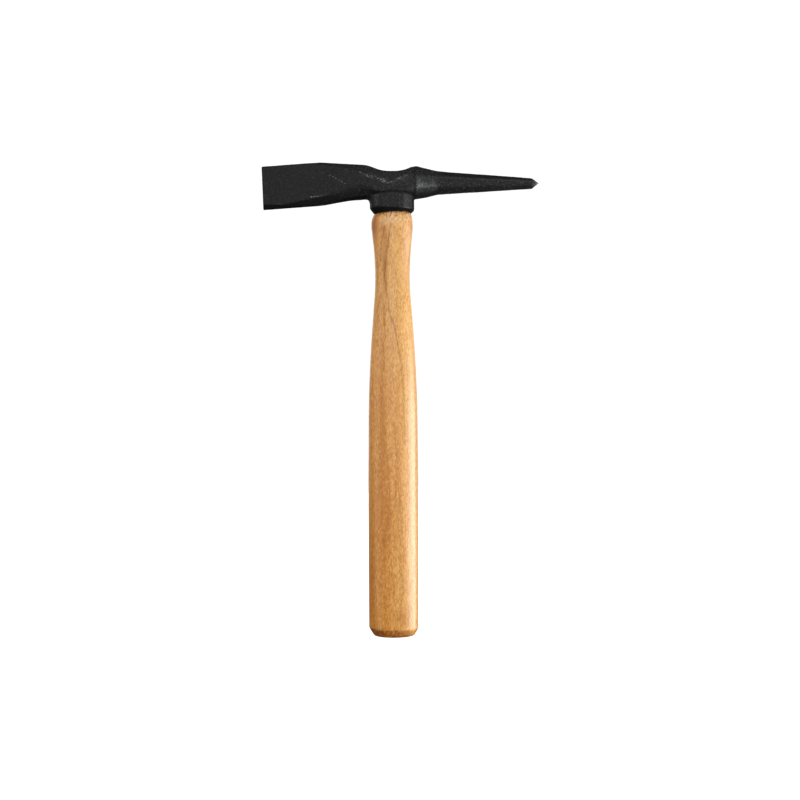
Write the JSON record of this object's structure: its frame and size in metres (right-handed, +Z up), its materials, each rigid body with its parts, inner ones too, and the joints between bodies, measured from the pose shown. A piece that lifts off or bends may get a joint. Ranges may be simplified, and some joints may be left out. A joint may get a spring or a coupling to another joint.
{
  "type": "brick chipping hammer",
  "caption": "Small masonry chipping hammer: forged steel head with a flat chisel blade and a tapered octagonal pick, wedged on an oval wooden handle.",
  "frame": {"origin": "centre of the flat butt face at the foot of the handle", "axes": "+Z up the handle towards the head; +X towards the pick, so the chisel blade points to -X; +Y is across the head, and front and back are mirror images"},
  "size_m": [0.194, 0.027, 0.3306],
  "materials": {
    "head_steel": "satin black coating over forged steel",
    "handle_wood": "clear gloss lacquer over pale hardwood",
    "wedge_wood": "sawn end grain",
    "wedge_steel": "bare driven steel"
  },
  "bodies": {
    "root": {"head": "head_steel", "handle": "handle_wood", "wooden_wedge": "wedge_wood", "steel_wedge_chisel_side": "wedge_steel", "steel_wedge_pick_side": "wedge_steel"}
  },
  "joints": []
}
